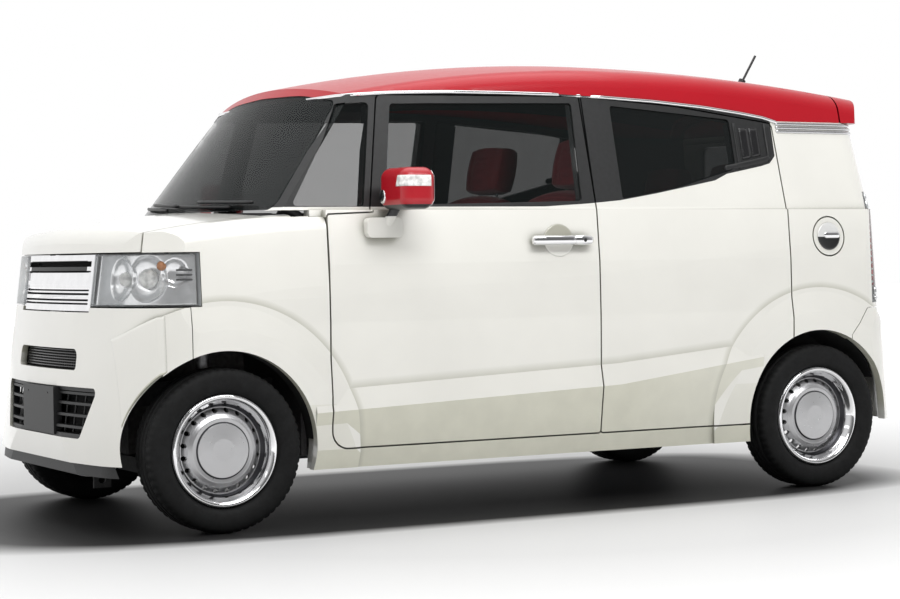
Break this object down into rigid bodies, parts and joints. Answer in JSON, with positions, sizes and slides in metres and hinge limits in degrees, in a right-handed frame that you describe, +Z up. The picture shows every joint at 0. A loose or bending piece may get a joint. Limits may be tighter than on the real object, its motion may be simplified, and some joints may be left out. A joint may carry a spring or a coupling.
{
  "type": "kei car",
  "caption": "Small tall-bodied five-door kei car in ivory with a red roof, hinged doors, hood and tailgate, coupled steering and free wheels.",
  "frame": {"origin": "on the ground at the middle of the car's length and width", "axes": "+X forward, +Y to the car's left, +Z up"},
  "size_m": [3.395, 1.83, 1.7626],
  "materials": {
    "ivory_paint": "gloss",
    "red_paint": "gloss",
    "glass": "clear",
    "chrome": "polished",
    "lamp": "clear",
    "black_plastic": "satin",
    "steel": "plain",
    "iron": "plain",
    "wheel_silver": "satin",
    "tyre": "matte",
    "seat_cloth": "woven",
    "trim": "grained"
  },
  "bodies": {
    "body": {"aerial": "black_plastic", "arch_liners": "black_plastic", "body_sides": "ivory_paint", "bulkhead": "steel", "cowl": "black_plastic", "dashboard": "trim", "engine": "iron", "exhaust": "steel", "fixed_glass": "glass", "floor_pan": "steel", "front_bumper": "ivory_paint", "front_fenders": "ivory_paint", "front_frame": "steel", "front_seats": "seat_cloth", "fuel_tank": "black_plastic", "grille": "chrome", "headlamps": "lamp", "lower_grille": "black_plastic", "rear_axle": "iron", "rear_bumper": "ivory_paint", "rear_seat": "seat_cloth", "roof": "red_paint", "tail_lamps": "lamp"},
    "front_door_left": {"front_door_left": "ivory_paint", "front_door_glass_left": "glass", "door_mirror_left": "red_paint", "door_handle_left": "chrome"},
    "rear_door_left": {"rear_door_left": "ivory_paint", "rear_door_glass_left": "glass"},
    "knuckle_left": {"knuckle_left": "iron"},
    "road_wheel_front_left": {"tyre_front_left": "tyre", "wheel_front_left": "wheel_silver"},
    "road_wheel_rear_left": {"tyre_rear_left": "tyre", "wheel_rear_left": "wheel_silver"},
    "front_door_right": {"front_door_right": "ivory_paint", "front_door_glass_right": "glass", "door_mirror_right": "red_paint", "door_handle_right": "chrome"},
    "rear_door_right": {"rear_door_right": "ivory_paint", "rear_door_glass_right": "glass"},
    "knuckle_right": {"knuckle_right": "iron"},
    "road_wheel_front_right": {"tyre_front_right": "tyre", "wheel_front_right": "wheel_silver"},
    "road_wheel_rear_right": {"tyre_rear_right": "tyre", "wheel_rear_right": "wheel_silver"},
    "hood": {"hood": "ivory_paint"},
    "tailgate": {"tailgate": "ivory_paint", "tailgate_glass": "glass", "spoiler": "red_paint"},
    "fuel_lid": {"fuel_lid": "ivory_paint"},
    "steering_wheel": {"steering_wheel": "trim"}
  },
  "joints": [
    {"name": "front_door_left_swing", "type": "hinge", "parent": "body", "child": "front_door_left", "pos_m": [0.885, 0.7375, 0.7], "axis": [0, 0, -1], "range_deg": [0, 68]},
    {"name": "rear_door_left_swing", "type": "hinge", "parent": "body", "child": "rear_door_left", "pos_m": [-0.225, 0.7375, 0.7], "axis": [0, 0, -1], "range_deg": [0, 75]},
    {"name": "front_door_right_swing", "type": "hinge", "parent": "body", "child": "front_door_right", "pos_m": [0.885, -0.7375, 0.7], "axis": [0, 0, 1], "range_deg": [0, 68]},
    {"name": "rear_door_right_swing", "type": "hinge", "parent": "body", "child": "rear_door_right", "pos_m": [-0.225, -0.7375, 0.7], "axis": [0, 0, 1], "range_deg": [0, 75]},
    {"name": "steer_left", "type": "hinge", "parent": "body", "child": "knuckle_left", "pos_m": [1.283, 0.632, 0.17], "axis": [0, -0.1976, 0.9803], "range_deg": [-35, 35]},
    {"name": "steer_right", "type": "hinge", "parent": "body", "child": "knuckle_right", "pos_m": [1.283, -0.632, 0.17], "axis": [0, 0.1976, 0.9803], "range_deg": [-35, 35]},
    {"name": "steering_wheel_turn", "type": "hinge", "parent": "body", "child": "steering_wheel", "pos_m": [0.47, -0.35, 0.955], "axis": [-0.891, 0, 0.454], "range_deg": [-525, 525]},
    {"name": "wheel_front_left_spin", "type": "hinge", "parent": "knuckle_left", "child": "road_wheel_front_left", "pos_m": [1.283, 0.6525, 0.2785], "axis": [0, 1, 0], "continuous": true},
    {"name": "wheel_rear_left_spin", "type": "hinge", "parent": "body", "child": "road_wheel_rear_left", "pos_m": [-1.237, 0.6525, 0.2785], "axis": [0, 1, 0], "continuous": true},
    {"name": "wheel_front_right_spin", "type": "hinge", "parent": "knuckle_right", "child": "road_wheel_front_right", "pos_m": [1.283, -0.6525, 0.2785], "axis": [0, 1, 0], "continuous": true},
    {"name": "wheel_rear_right_spin", "type": "hinge", "parent": "body", "child": "road_wheel_rear_right", "pos_m": [-1.237, -0.6525, 0.2785], "axis": [0, 1, 0], "continuous": true},
    {"name": "hood_lift", "type": "hinge", "parent": "body", "child": "hood", "pos_m": [1.105, 0, 1.105], "axis": [0, -1, 0], "range_deg": [0, 55]},
    {"name": "tailgate_lift", "type": "hinge", "parent": "body", "child": "tailgate", "pos_m": [-1.456, 0, 1.606], "axis": [0, 1, 0], "range_deg": [0, 78]},
    {"name": "fuel_lid_swing", "type": "hinge", "parent": "body", "child": "fuel_lid", "pos_m": [-1.225, 0.724, 0.983], "axis": [0, 0, -1], "range_deg": [0, 85]}
  ],
  "couplings": [
    {"joint": "steer_right", "follows": "steer_left", "ratio": 1},
    {"joint": "steering_wheel_turn", "follows": "steer_left", "ratio": 15}
  ]
}
